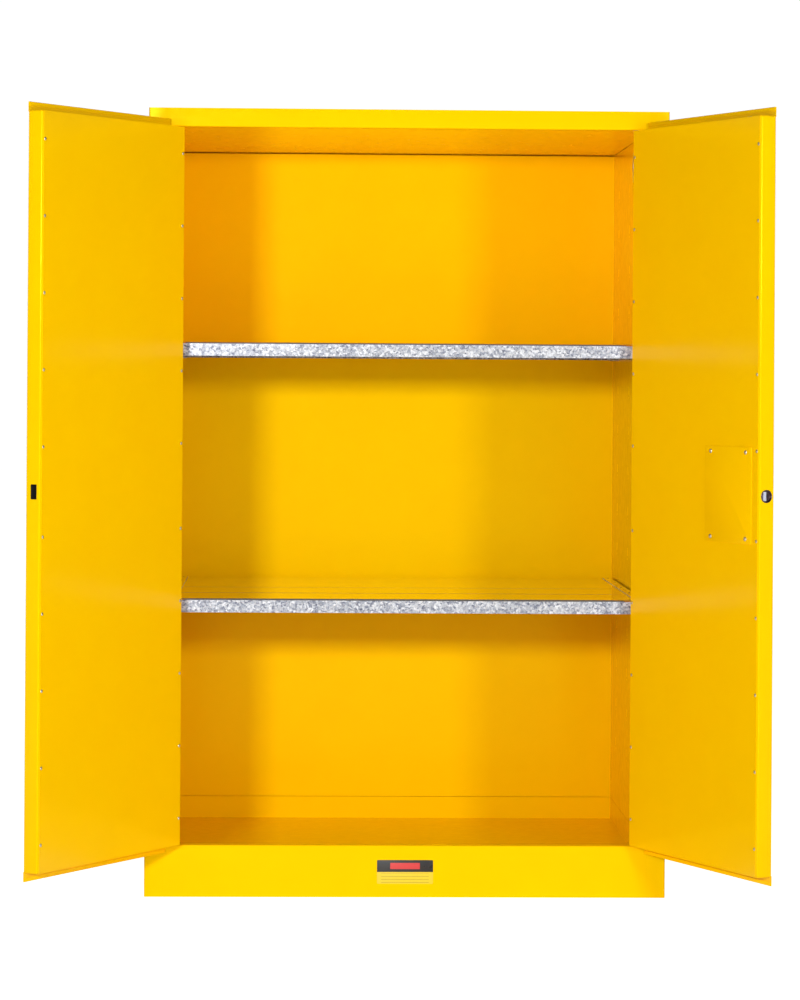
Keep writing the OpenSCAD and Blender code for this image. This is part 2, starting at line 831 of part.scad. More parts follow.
// A latch rod in hinge coordinates, seen as the top rod; way is 1 for the top, -1 for the bottom
module latch_rod(way) {
    yoke_u = crank_r * (1 + cos(half_turn)) / 2;
    yoke_z = -crank_r * sin(half_turn);
    joggle_z = cam_r + 4;
    tip_z = plug_top + rod_rest_out - middle_z;
    bevel = 8;
    slot_half_u = crank_pin_d / 2 + crank_r * (1 - cos(half_turn)) / 2 + slot_play;
    slot_half_z = crank_pin_d / 2 + slot_play;
    column_u1 = rod_w / 2;
    translate([spindle_u, rod_v + rod_t / 2, middle_z])
        mirror([0, 0, way < 0 ? 1 : 0])
            rotate([90, 0, 0]) linear_extrude(height = rod_t) difference() {
                union() {
                    translate([way * yoke_u - yoke_w / 2, yoke_z - yoke_h / 2])
                        square([yoke_w, joggle_z + 14 - yoke_z + yoke_h / 2]);
                    translate([min(-column_u1, way * yoke_u - yoke_w / 2), joggle_z])
                        square([max(column_u1, way * yoke_u + yoke_w / 2)
                                - min(-column_u1, way * yoke_u - yoke_w / 2), 14]);
                    polygon([[-rod_w / 2, joggle_z], [rod_w / 2, joggle_z],
                             [rod_w / 2, tip_z], [-rod_w / 2 + bevel, tip_z],
                             [-rod_w / 2, tip_z - bevel / 2]]);
                }
                translate([way * yoke_u - slot_half_u, yoke_z - slot_half_z])
                    square([2 * slot_half_u, 2 * slot_half_z]);
            }
}

module top_rod() {
    color(zinc) hung(1) latch_rod(1);
}

module bottom_rod() {
    color(zinc) hung(1) latch_rod(-1);
}

module centre_bolt() {
    nose_u1 = edge_u - bolt_recess;
    nose_len = barrel_len + bolt_travel + 6;
    tail_half_z = 6;
    tail_z = -bolt_crank_r * (1 + cos(half_turn)) / 2;
    tail_u = -bolt_crank_r * sin(half_turn);
    slot_half_z = 2.5 + bolt_crank_r * (1 - cos(half_turn)) / 2 + slot_play;
    slot_half_u = 2.5 + slot_play;
    end_half_z = slot_half_z + 3;
    color(steel) hung(1) {
        translate([nose_u1, 0, middle_z - bolt_h / 2]) linear_extrude(height = bolt_h)
            polygon([[-nose_len, bolt_v - bolt_t / 2], [-5, bolt_v - bolt_t / 2],
                     [0, bolt_v - bolt_t / 2 + 5], [0, bolt_v + bolt_t / 2],
                     [-nose_len, bolt_v + bolt_t / 2]]);
        translate([spindle_u, tail_v, middle_z]) difference() {
            union() {
                span([tail_u - slot_half_u - 3, 0, tail_z - end_half_z],
                     [tail_u + slot_half_u + 3, tail_t, tail_z + end_half_z]);
                span([tail_u + slot_half_u, 0, tail_z - tail_half_z],
                     [spindle_inset - bolt_recess - nose_len + 2, tail_t, tail_z + tail_half_z]);
            }
            span([tail_u - slot_half_u, -1, tail_z - slot_half_z],
                 [tail_u + slot_half_u, tail_t + 1, tail_z + slot_half_z]);
        }
    }
}

// ---------- shelves ----------

upper_shelf_z = slot_z0 + upper_slot * slot_pitch + shelf_over_slot;
lower_shelf_z = slot_z0 + lower_slot * slot_pitch + shelf_over_slot;

// Cross-section of a plank in y and z, its top at z = 0: rounded edges and two down flanges
module plank_section(front_flange, back_flange) {
    outer_w = plank_w;
    difference() {
        union() {
            translate([plank_r, -plank_r]) circle(r = plank_r);
            translate([outer_w - plank_r, -plank_r]) circle(r = plank_r);
            translate([plank_r, -plank_r]) square([outer_w - 2 * plank_r, plank_r]);
            translate([0, -front_flange]) square([plank_r, front_flange - plank_r]);
            translate([outer_w - plank_r, -back_flange]) square([plank_r, back_flange - plank_r]);
        }
        inner_r = plank_r - shelf_t;
        translate([plank_r, -plank_r]) circle(r = inner_r);
        translate([outer_w - plank_r, -plank_r]) circle(r = inner_r);
        translate([plank_r, -plank_r - 1]) square([outer_w - 2 * plank_r, plank_r - shelf_t + 1]);
        translate([shelf_t, -lip_h]) square([outer_w - 2 * shelf_t, lip_h - plank_r]);
    }
}

module shelf_planks(top_z) {
    plank_top = top_z - shelf_t;
    plank_x = shelf_x - shelf_t - 0.2;
    end_flange = lip_h - shelf_t;
    color(zinc) for (k = [0:plank_n - 1])
        translate([-plank_x, shelf_y0 + k * plank_pitch, plank_top])
            rotate([90, 0, 90]) linear_extrude(height = 2 * plank_x)
                plank_section(k == 0 ? end_flange : plank_flange,
                              k == plank_n - 1 ? end_flange : plank_flange);
}

// Two end channels with the rivets that hold the planks
module shelf_end_rails(top_z) {
    color(zinc) for (side = [-1, 1]) on_side(side) {
        span([shelf_x - strip_w, shelf_y0, top_z - shelf_t], [shelf_x, shelf_y1, top_z]);
        span([shelf_x - shelf_t, shelf_y0, top_z - lip_h], [shelf_x, shelf_y1, top_z]);
        for (k = [0:plank_n - 1]) for (y = [shelf_rivet_edge, plank_w - shelf_rivet_edge])
            translate([shelf_x - strip_w / 2, shelf_y0 + k * plank_pitch + y, top_z])
                fastener(shelf_rivet_d, 1.2, 1, 0.01);
    }
}

module shelf_clips(top_z) {
    seat_z = top_z - lip_h;
    hook_z = top_z - shelf_over_slot;
    color(zinc) for (side = [-1, 1]) on_side(side) for (y = clip_cols) translate([inner_x, y, 0]) {
        span([-clip_t, -clip_w / 2, seat_z - clip_t], [0, clip_w / 2, hook_z + 6]);
        span([-20, -clip_w / 2, seat_z - clip_t], [0, clip_w / 2, seat_z]);
        span([0, -slot_w / 2 + 0.5, hook_z - 5], [5, slot_w / 2 - 0.5, hook_z + 5]);
    }
}

module upper_shelf_planks() {
    shelf_planks(upper_shelf_z);
}

module upper_shelf_end_rails() {
    shelf_end_rails(upper_shelf_z);
}

module upper_shelf_clips() {
    shelf_clips(upper_shelf_z);
}

module lower_shelf_planks() {
    shelf_planks(lower_shelf_z);
}

module lower_shelf_end_rails() {
    shelf_end_rails(lower_shelf_z);
}

module lower_shelf_clips() {
    shelf_clips(lower_shelf_z);
}

// ---------- vents ----------

// Tube through the double wall, with an inner flange; side is -1 for the left wall, 1 for the right
module vent_sleeve(side, z) {
    color(steel) on_side(side) translate([0, vent_y, z]) difference() {
        union() {
            along_u(vent_bore_d + 2 * vent_wall, inner_x - 2, half_w);
            along_u(vent_flange_d, inner_x - 3, inner_x);
        }
        along_u(vent_bore_d, inner_x - 4, half_w + 1);
    }
}

module vent_sleeve_low() {
    vent_sleeve(-1, vent_low_z);
}

module vent_sleeve_high() {
    vent_sleeve(1, vent_high_z);
}

// Two perforated discs, the flame arresters, just inside the inner ends of the sleeves
module vent_screens() {
    hole_pitch = 7;
    color(steel) for (side = [-1, 1]) on_side(side)
        translate([0, vent_y, side < 0 ? vent_low_z : vent_high_z]) difference() {
            along_u(vent_bore_d, inner_x, inner_x + 2);
            for (row = [-2:2]) for (col = [-2:2])
                translate([0, col * hole_pitch, row * hole_pitch])
                    along_u(4.5, inner_x - 1, inner_x + 3, $fn = 16);
        }
}

module vent_cap(side, z) {
    color(yellow) on_side(side) translate([0, vent_y, z]) difference() {
        union() {
            along_u(vent_bore_d - 2 * cap_gap, half_w - 22, half_w + 1);
            along_u(vent_bore_d + 16, half_w + sheet_gap, half_w + cap_out);
        }
        along_u(vent_bore_d - 10, half_w - 23, half_w - 4);
        span([half_w + cap_out - 4, -13, -13], [half_w + cap_out + 1, 13, 13]);
    }
}

module vent_cap_low() {
    vent_cap(-1, vent_low_z);
}

module vent_cap_high() {
    vent_cap(1, vent_high_z);
}

// ---------- ground stud, label and feet ----------

module ground_stud() {
    color(zinc) translate([0, stud_y, stud_z]) {
        along_u(stud_shank_d, half_w - 6, half_w + stud_nut_h + 1);
        along_u(stud_d, half_w + stud_nut_h, half_w + stud_nut_h + stud_free);
    }
}

module ground_nut() {
    color(zinc) translate([0, stud_y, stud_z]) difference() {
        translate([half_w, 0, 0]) rotate([0, 90, 0])
            cylinder(h = stud_nut_h, d = stud_d * 1.8, $fn = 6);
        along_u(stud_shank_d, half_w - 1, half_w + stud_nut_h + 1);
    }
}

module front_label() {
    color(black)
        span([-label_w / 2, front_y - label_t, label_z - label_h / 2],
             [label_w / 2, front_y, label_z + label_h / 2]);
}

function foot_places() = [
    for (sy = [-1, 1]) for (sx = [-1, 1])
        [sx * (half_w - foot_inset), sy * (half_d - foot_inset) + (sy < 0 ? 25 : 0)]
];

module foot(k) {
    p = foot_places()[k];
    color(black) translate([p[0], p[1], 0]) {
        cylinder(h = foot_pad_h, d = foot_d);
        cylinder(h = boss_z + boss_h + 4, d = foot_stud_d);
    }
}

module foot_front_left() {
    foot(0);
}

module foot_front_right() {
    foot(1);
}

module foot_back_left() {
    foot(2);
}

module foot_back_right() {
    foot(3);
}

// ---------- nodes ----------

outer_side_left();
outer_side_right();
outer_back();
outer_top();
base_pan();
liner_left();
liner_right();
liner_back();
liner_ceiling();
sump_tray();
top_rail();
bottom_rail();
door_post_left();
door_post_right();
post_leaf_left();
post_leaf_right();
hinge_pin_left();
hinge_pin_right();
vent_sleeve_low();
vent_sleeve_high();
vent_screens();
ground_stud();
ground_nut();
front_label();
upper_shelf_clips();
lower_shelf_clips();
left_door_skin();
left_door_liner();
left_door_rivets();
left_door_stiffener();
strike_box();
door_leaf_left();
right_door_skin();
right_door_liner();
right_door_rivets();
right_door_stiffener();
access_plate();
access_plate_screws();
lock_case();
latch_barrel();
rod_guides();
handle_plate();
door_leaf_right();
handle_lever();
handle_spindle();
key_cylinder();
top_rod();
bottom_rod();
centre_bolt();
upper_shelf_planks();
upper_shelf_end_rails();
lower_shelf_planks();
lower_shelf_end_rails();
vent_cap_low();
vent_cap_high();
foot_front_left();
foot_front_right();
foot_back_left();
foot_back_right();
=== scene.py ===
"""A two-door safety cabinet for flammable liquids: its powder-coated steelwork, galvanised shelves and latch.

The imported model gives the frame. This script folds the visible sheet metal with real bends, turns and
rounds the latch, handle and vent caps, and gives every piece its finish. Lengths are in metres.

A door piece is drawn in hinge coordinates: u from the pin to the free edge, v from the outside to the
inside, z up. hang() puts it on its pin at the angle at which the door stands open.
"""

import json
import math

import bmesh
import bpy
import numpy as np
from mathutils import Matrix, Vector


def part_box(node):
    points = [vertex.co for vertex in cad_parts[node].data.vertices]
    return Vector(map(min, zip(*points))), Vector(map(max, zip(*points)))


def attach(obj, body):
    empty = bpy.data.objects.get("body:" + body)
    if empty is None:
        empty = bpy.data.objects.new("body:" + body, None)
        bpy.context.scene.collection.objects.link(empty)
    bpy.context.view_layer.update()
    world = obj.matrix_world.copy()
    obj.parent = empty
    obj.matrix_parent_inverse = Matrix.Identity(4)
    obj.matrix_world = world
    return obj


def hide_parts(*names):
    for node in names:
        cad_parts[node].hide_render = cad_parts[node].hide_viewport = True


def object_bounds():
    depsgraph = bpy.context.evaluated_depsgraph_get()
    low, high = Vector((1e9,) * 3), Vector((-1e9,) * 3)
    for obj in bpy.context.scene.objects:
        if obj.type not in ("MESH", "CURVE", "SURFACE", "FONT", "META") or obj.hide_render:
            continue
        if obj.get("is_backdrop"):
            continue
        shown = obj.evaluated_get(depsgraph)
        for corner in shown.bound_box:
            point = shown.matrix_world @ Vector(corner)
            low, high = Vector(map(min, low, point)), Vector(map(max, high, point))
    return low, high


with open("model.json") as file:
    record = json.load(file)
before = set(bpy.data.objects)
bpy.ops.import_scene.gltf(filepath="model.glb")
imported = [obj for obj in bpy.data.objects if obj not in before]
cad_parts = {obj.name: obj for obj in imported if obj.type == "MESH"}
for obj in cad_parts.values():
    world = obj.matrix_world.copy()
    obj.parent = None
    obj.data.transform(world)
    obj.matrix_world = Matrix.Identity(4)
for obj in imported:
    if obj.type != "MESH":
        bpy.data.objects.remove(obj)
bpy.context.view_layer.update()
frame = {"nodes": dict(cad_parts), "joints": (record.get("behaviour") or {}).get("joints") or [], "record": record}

MM = 0.001
SMOOTH_BELOW = 35  # degrees; edges that turn less are smooth


# ---------------------------------------------------------------- sizes taken from the frame

def node_box(name):
    """Lowest and highest corner of a node, as arrays."""
    low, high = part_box(name)
    return np.array(low), np.array(high)


def node_points(name):
    """All vertices of a node as an N x 3 array."""
    mesh = frame["nodes"][name].data
    co = np.empty(len(mesh.vertices) * 3)
    mesh.vertices.foreach_get("co", co)
    return co.reshape(-1, 3)


JOINTS = {j["name"]: j for j in frame["joints"]}


def hinge_axes(side):
    """Pin position, u direction and v direction of a door: side is -1 for the left, 1 for the right.

    u is the closed door's direction turned by the opening angle; v is u turned a quarter inwards.
    """
    joint = JOINTS["left_door_hinge" if side < 0 else "right_door_hinge"]
    angle = math.radians(-joint["range_deg"][0])
    pin = np.array([joint["pos_m"][0], joint["pos_m"][1], 0.0])
    u = np.array([-side * math.cos(angle), -math.sin(angle), 0.0])
    v = np.array([-side * math.sin(angle), math.cos(angle), 0.0])
    return pin, u, v


def hang(points, side):
    """Turns N x 3 points from hinge coordinates (u, v, z) into the cabinet's frame."""
    pin, u, v = hinge_axes(side)
    points = np.asarray(points, float)
    return pin + points[:, :1] * u + points[:, 1:2] * v + points[:, 2:] * np.array([0.0, 0.0, 1.0])


def door_box(name, side):
    """Lowest and highest corner of a door node in hinge coordinates."""
    pin, u, v = hinge_axes(side)
    p = node_points(name) - pin
    uvz = np.stack([p @ u, p @ v, p[:, 2]], axis=1)
    return uvz.min(0), uvz.max(0)


side_low, side_high = node_box("outer_side_right")
CABINET_W = 2 * side_high[0]
CABINET_H = side_high[2]
FRONT_Y = side_low[1]
BACK_Y = node_box("outer_back")[1][1]
rail_low, rail_high = node_box("top_rail")
SHEET = float(np.subtract(*node_box("outer_top")[::-1])[2])


# ---------------------------------------------------------------- mesh helpers

def add_piece(name, verts, faces, material, body, *nodes, smooth=SMOOTH_BELOW):
    """Makes a closed mesh object, rides it on its body and lets it stand for the given CAD nodes."""
    mesh = bpy.data.meshes.new(name)
    mesh.from_pydata(np.asarray(verts, float).tolist(), [], [list(map(int, f)) for f in faces])
    mesh.validate()
    mesh.update()
    obj = bpy.data.objects.new(name, mesh)
    bpy.context.scene.collection.objects.link(obj)
    finish_piece(obj, material, smooth)
    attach(obj, body)
    if nodes:
        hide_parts(*nodes)
    return obj


def finish_piece(obj, material, smooth=SMOOTH_BELOW):
    """Turns faces outwards, smooths all edges flatter than the angle and assigns the material."""
    bm = bmesh.new()
    bm.from_mesh(obj.data)
    bmesh.ops.remove_doubles(bm, verts=bm.verts, dist=1e-6)
    bmesh.ops.recalc_face_normals(bm, faces=bm.faces)
    bm.to_mesh(obj.data)
    bm.free()
    obj.data.shade_smooth()
    obj.data.set_sharp_from_angle(angle=math.radians(smooth))
    obj.data.materials.clear()
    obj.data.materials.append(material)


def join_shells(*shells):
    """Puts several (verts, faces) shells into one list of vertices and faces."""
    verts, faces, start = [], [], 0
    for shell_verts, shell_faces in shells:
        verts.append(np.asarray(shell_verts, float))
        faces += [[start + i for i in face] for face in shell_faces]
        start += len(shell_verts)
    return np.concatenate(verts), faces


def bent_path(corners, radii, steps=6):
    """Centre line of a folded sheet: straight runs joined by arcs.

    At each inner corner the path leaves the run at r * tan(turn / 2) before the corner, and follows
    a circle of that radius to the same distance after it. Returns the points and their left normals.
    """
    corners = np.asarray(corners, float)
    points, normals = [], []
    for k, corner in enumerate(corners):
        into = corner - corners[k - 1] if k > 0 else corners[1] - corner
        out = corners[k + 1] - corner if k < len(corners) - 1 else into
        into, out = into / np.linalg.norm(into), out / np.linalg.norm(out)
        turn = math.atan2(into[0] * out[1] - into[1] * out[0], into @ out)
        left = np.array([-into[1], into[0]])
        if abs(turn) < 1e-6:
            points.append(corner[None])
            normals.append(left[None])
            continue
        radius = radii[k - 1]
        start = corner - into * radius * math.tan(abs(turn) / 2)
        centre = start + math.copysign(radius, turn) * left
        angles = turn * np.linspace(0, 1, steps + 1)
        cos, sin = np.cos(angles), np.sin(angles)
        spoke = start - centre
        arc = np.stack([spoke[0] * cos - spoke[1] * sin, spoke[0] * sin + spoke[1] * cos], axis=1)
        points.append(centre + arc)
        normals.append(np.stack([left[0] * cos - left[1] * sin, left[0] * sin + left[1] * cos], axis=1))
    return np.concatenate(points), np.concatenate(normals)


def folded_sheet(corners, radii, thickness, low, high, ends=None):
    """A folded sheet: the bent path, offset by half the thickness to each side, carried along a line.

    low and high are the two ends of the line; ends(section) may give each section point its own
    inset from them, which mitres a fold. Returns (a, b, along) vertices and faces.
    """
    path, normal = bent_path(corners, radii)
    section = np.concatenate([path + normal * thickness / 2, (path - normal * thickness / 2)[::-1]])
    count, half = len(section), len(path)
    inset = np.zeros(count) if ends is None else ends(section)
    first = np.column_stack([section, np.full(count, low) + inset])
    last = np.column_stack([section, np.full(count, high) - inset])
    ring = np.arange(count)
    following = (ring + 1) % count
    faces = np.stack([ring, following, following + count, ring + count], axis=1).tolist()
    step = np.arange(half - 1)
    partner = count - 1 - step
    for offset in (0, count):
        faces += (np.stack([step, step + 1, partner - 1, partner], axis=1) + offset).tolist()
    return np.concatenate([first, last]), faces


def rounded_outline(width, height, radius, steps=6):
    """Corners of a rectangle with quarter circles of the radius at its corners, counterclockwise."""
    angles = np.linspace(0, math.pi / 2, steps + 1)
    arc = np.stack([np.cos(angles), np.sin(angles)], axis=1) * radius
    turned = []
    for k, (sx, sy) in enumerate(((1, 1), (-1, 1), (-1, -1), (1, -1))):
        c, s = round(math.cos(k * math.pi / 2)), round(math.sin(k * math.pi / 2))
        centre = np.array([sx * (width / 2 - radius), sy * (height / 2 - radius)])
        turned.append(centre + arc @ np.array([[c, s], [-s, c]]))
    return np.concatenate(turned)


def soft_plate(outline, low, high, edge, steps=3):
    """A plate with rounded rims: the outline pulled in by edge * (1 - sin a) while the height rises
    by edge * (1 - cos a), on both faces. The outline is pulled in along its own normals."""
    ahead, behind = np.roll(outline, -1, axis=0), np.roll(outline, 1, axis=0)
    tangent = ahead - behind
    tangent /= np.linalg.norm(tangent, axis=1)[:, None]
    inward = np.stack([-tangent[:, 1], tangent[:, 0]], axis=1)
    angles = np.linspace(0, math.pi / 2, steps + 1)
    pull = edge * (1 - np.sin(angles))
    rise = edge * (1 - np.cos(angles))
    levels = np.concatenate([low + rise, (high - rise)[::-1]])
    pulls = np.concatenate([pull, pull[::-1]])
    rings = [np.column_stack([outline + inward * p, np.full(len(outline), z)]) for p, z in zip(pulls, levels)]
    return stack_rings(rings)


def stack_rings(rings):
    """Joins closed rings of equal length with quads and closes both ends with one face each."""
    count = len(rings[0])
    ring = np.arange(count)
    following = (ring + 1) % count
    faces = []
    for k in range(len(rings) - 1):
        a, b = k * count, (k + 1) * count
        faces += np.stack([ring + a, following + a, following + b, ring + b], axis=1).tolist()
    faces.append(list(range(count))[::-1])
    faces.append([(len(rings) - 1) * count + i for i in range(count)])
    return np.concatenate(rings), faces


def turned(profile, steps=48):
    """A lathe piece about the third axis: each (radius, height) point of the profile becomes a ring."""
    angles = np.linspace(0, 2 * math.pi, steps, endpoint=False)
    rings = [np.column_stack([r * np.cos(angles), r * np.sin(angles), np.full(steps, h)]) for r, h in profile]
    return stack_rings(rings)


def cut(obj, *cutters):
    """Cuts closed shells out of a piece with the exact solver, then deletes the cutters."""
    for number, (verts, faces) in enumerate(cutters):
        mesh = bpy.data.meshes.new(f"{obj.name}_cutter_{number}")
        mesh.from_pydata(np.asarray(verts).tolist(), [], [list(map(int, f)) for f in faces])
        mesh.update()
        tool = bpy.data.objects.new(mesh.name, mesh)
        bpy.context.scene.collection.objects.link(tool)
        finish_piece(tool, obj.data.materials[0])
        step = obj.modifiers.new("cut", "BOOLEAN")
        step.operation = "DIFFERENCE"
        step.solver = "EXACT"
        step.object = tool
        graph = bpy.context.evaluated_depsgraph_get()
        made = bpy.data.meshes.new_from_object(obj.evaluated_get(graph))
        obj.modifiers.clear()
        obj.data = made
        bpy.data.objects.remove(tool)
    obj.data.shade_smooth()
    obj.data.set_sharp_from_angle(angle=math.radians(SMOOTH_BELOW))


def swap(points, order):
    """Reorders the three coordinates of each point."""
    return np.asarray(points)[:, list(order)]


# ---------------------------------------------------------------- finishes

class Finish:
    """A Principled material with small helpers for its procedural nodes."""

    def __init__(self, name, metallic=0.0, specular=0.5):
        self.material = bpy.data.materials.new(name)
        self.material.use_nodes = True
        self.nodes = self.material.node_tree.nodes
        self.links = self.material.node_tree.links
        self.shader = self.nodes["Principled BSDF"]
        self.shader.inputs["Metallic"].default_value = metallic
        self.shader.inputs["Specular IOR Level"].default_value = specular
        self.place = self.nodes.new("ShaderNodeTexCoord").outputs["Object"]

    def noise(self, scale, detail=3.0, roughness=0.5):
        """Noise of the given waves per metre."""
        node = self.nodes.new("ShaderNodeTexNoise")
        node.inputs["Scale"].default_value = scale
        node.inputs["Detail"].default_value = detail
        node.inputs["Roughness"].default_value = roughness
        self.links.new(self.place, node.inputs["Vector"])
        return node.outputs["Fac"]

    def ramp(self, value, *stops):
        """Colours over a value from 0 to 1; each stop is (place, colour)."""
        node = self.nodes.new("ShaderNodeValToRGB")
        elements = node.color_ramp.elements
        while len(elements) < len(stops):
            elements.new(0.5)
        for element, (place, colour) in zip(elements, stops):
            element.position = place
            element.color = (*colour, 1.0)
        self.links.new(value, node.inputs["Fac"])
        return node.outputs["Color"]

    def remap(self, value, low, high, start=0.0, end=1.0):
        """Carries start..end of a value to low..high."""
        node = self.nodes.new("ShaderNodeMapRange")
        node.inputs["From Min"].default_value = start
        node.inputs["From Max"].default_value = end
        node.inputs["To Min"].default_value = low
        node.inputs["To Max"].default_value = high
        self.links.new(value, node.inputs["Value"])
        return node.outputs["Result"]

    def maths(self, operation, a, b=0.0):
        """One step of arithmetic on two values or sockets."""
        node = self.nodes.new("ShaderNodeMath")
        node.operation = operation
        for socket, value in zip(node.inputs, (a, b)):
            if isinstance(value, (int, float)):
                socket.default_value = value
            else:
                self.links.new(value, socket)
        return node.outputs["Value"]

    def blend(self, factor, a, b, mode="MIX"):
        """Mixes two colours by a factor; each is a socket or a colour."""
        node = self.nodes.new("ShaderNodeMix")
        node.data_type = "RGBA"
        node.blend_type = mode
        for socket, value in zip((node.inputs["Factor"], node.inputs["A"], node.inputs["B"]), (factor, a, b)):
            self.put(socket, value)
        return node.outputs["Result"]

    def put(self, socket, value):
        """Links a socket, or sets a constant on it."""
        if isinstance(value, (int, float)):
            socket.default_value = value
        elif isinstance(value, tuple):
            socket.default_value = (*value, 1.0)
        else:
            self.links.new(value, socket)

    def grey(self, value):
        """The same value in red, green and blue."""
        node = self.nodes.new("ShaderNodeCombineColor")
        for name in ("Red", "Green", "Blue"):
            self.links.new(value, node.inputs[name])
        return node.outputs["Color"]

    def cells(self, scale, place):
        """The channels of the random colour of each Voronoi cell, of the given cells per metre."""
        node = self.nodes.new("ShaderNodeTexVoronoi")
        node.inputs["Scale"].default_value = scale
        self.links.new(place, node.inputs["Vector"])
        split = self.nodes.new("ShaderNodeSeparateColor")
        self.links.new(node.outputs["Color"], split.inputs["Color"])
        return split.outputs

    def axes(self, vector):
        """The X, Y and Z outputs of a vector."""
        node = self.nodes.new("ShaderNodeSeparateXYZ")
        self.links.new(vector, node.inputs["Vector"])
        return node.outputs

    def shifted(self, scale, distance):
        """Object coordinates pushed about by coloured noise, so that cell borders wander."""
        waves = self.nodes.new("ShaderNodeTexNoise")
        waves.inputs["Scale"].default_value = scale
        self.links.new(self.place, waves.inputs["Vector"])
        node = self.nodes.new("ShaderNodeVectorMath")
        node.operation = "MULTIPLY_ADD"
        node.inputs[1].default_value = (distance,) * 3
        self.links.new(waves.outputs["Color"], node.inputs[0])
        self.links.new(self.place, node.inputs[2])
        return node.outputs["Vector"]

    def set(self, name, value):
        """Links a value to one of the shader's sockets."""
        self.links.new(value, self.shader.inputs[name])

    def bump(self, *layers):
        """Stacks bump layers, each (height, depth in metres)."""
        normal = None
        for height, depth in layers:
            node = self.nodes.new("ShaderNodeBump")
            node.inputs["Strength"].default_value = 1.0
            node.inputs["Distance"].default_value = depth
            self.links.new(height, node.inputs["Height"])
            if normal is not None:
                self.links.new(normal, node.inputs["Normal"])
            normal = node.outputs["Normal"]
        self.set("Normal", normal)


YELLOW = (0.95, 0.57, 0.0)


def powder_coat():
    """Yellow powder coat: orange peel of 2 to 3 mm, faint waves in the sheet, film of uneven depth."""
    f = Finish("yellow_powder_coat")
    f.shader.inputs["Specular Tint"].default_value = (1.0, 0.66, 0.03, 1.0)
    film = f.noise(9.0, detail=4.0, roughness=0.6)
    pigment = f.noise(2200.0, detail=1.0)
    tone = f.ramp(film, (0.3, (0.945, 0.56, 0.0)), (0.5, YELLOW), (0.72, (0.955, 0.58, 0.0)))
    speck = f.remap(pigment, 0.975, 1.025)
    f.set("Base Color", f.blend(1.0, tone, f.grey(speck), "MULTIPLY"))
    f.set("Roughness", f.remap(f.noise(60.0, detail=3.0), 0.13, 0.19, 0.3, 0.7))
    peel = f.noise(380.0, detail=2.0, roughness=0.45)
    wave = f.noise(3.2, detail=1.0)
    f.bump((wave, 0.0012), (peel, 0.000008))
    return f.material


def galvanised():
    """Hot-dip galvanised steel: crystals 2 to 5 mm across, each with its own grey; faces that look up
    get a painted sheen: their world normal makes them a paler, nearly mirror-like metal."""
    f = Finish("galvanised_spangle")
    place = f.shifted(160.0, 6 * MM)
    crystal, small = f.cells(230.0, place), f.cells(520.0, place)
    cloud = f.noise(14.0, detail=4.0, roughness=0.65)
    grain = f.maths("MULTIPLY", crystal["Red"], 0.45)
    grain = f.maths("ADD", grain, f.maths("MULTIPLY", small["Green"], 0.25))
    grain = f.maths("ADD", grain, f.maths("MULTIPLY", cloud, 0.42))
    tone = f.ramp(
        grain,
        (0.30, (0.09, 0.10, 0.15)),
        (0.46, (0.25, 0.27, 0.32)),
        (0.62, (0.35, 0.37, 0.41)),
        (0.82, (0.56, 0.58, 0.62)),
    )
    # painted sheen: faces that look up, by their world normal, blend to a pale colour, high metallic and low
    # roughness
    facing = f.nodes.new("ShaderNodeNewGeometry").outputs["Normal"]
    painted_sheen = f.remap(f.axes(facing)["Z"], 0.0, 1.0, 0.02, 0.15)
    dull = f.maths("SUBTRACT", 1.0, painted_sheen)
    f.set("Base Color", f.blend(painted_sheen, tone, (0.86, 0.85, 0.82)))
    f.set("Metallic", f.remap(painted_sheen, 0.3, 0.98))
    haze = f.maths("MULTIPLY", f.remap(crystal["Green"], 0.16, 0.36), dull)
    f.set("Roughness", f.maths("ADD", haze, 0.05))
    f.bump((cloud, 0.000004))
    return f.material


def zinc_plate(name="zinc_plate", tint=(0.66, 0.65, 0.62), metallic=1.0):
    """Bright zinc plate: a fine brushed grain and slightly cloudy colour."""
    f = Finish(name, metallic=metallic)
    cloud = f.noise(120.0, detail=3.0)
    dark = tuple(0.8 * c for c in tint)
    light = tuple(min(1.0, 1.15 * c) for c in tint)
    f.set("Base Color", f.ramp(cloud, (0.3, dark), (0.7, light)))
    f.set("Roughness", f.remap(f.noise(900.0, detail=2.0), 0.22, 0.4))
    f.bump((f.noise(1500.0, detail=2.0), 0.00002))
    return f.material


def bright_chrome():
    """Chrome plate with a hazy polish and faint wipe marks."""
    f = Finish("bright_chrome", metallic=1.0)
    f.set("Base Color", f.ramp(f.noise(90.0), (0.3, (0.70, 0.71, 0.74)), (0.7, (0.84, 0.85, 0.87))))
    f.set("Roughness", f.remap(f.noise(300.0, detail=4.0), 0.07, 0.22))
    f.bump((f.noise(700.0), 0.00001))
    return f.material


def black_plastic():
    """Black glass-filled nylon: fine spark-eroded grain and slightly cloudy tone."""
    f = Finish("black_moulding", specular=0.4)
    cloud = f.noise(70.0, detail=5.0)
    f.set("Base Color", f.ramp(cloud, (0.3, (0.012, 0.012, 0.013)), (0.75, (0.030, 0.030, 0.032))))
    f.set("Roughness", f.remap(f.noise(250.0), 0.42, 0.6))
    f.bump((f.noise(2500.0, detail=2.0), 0.00003))
    return f.material


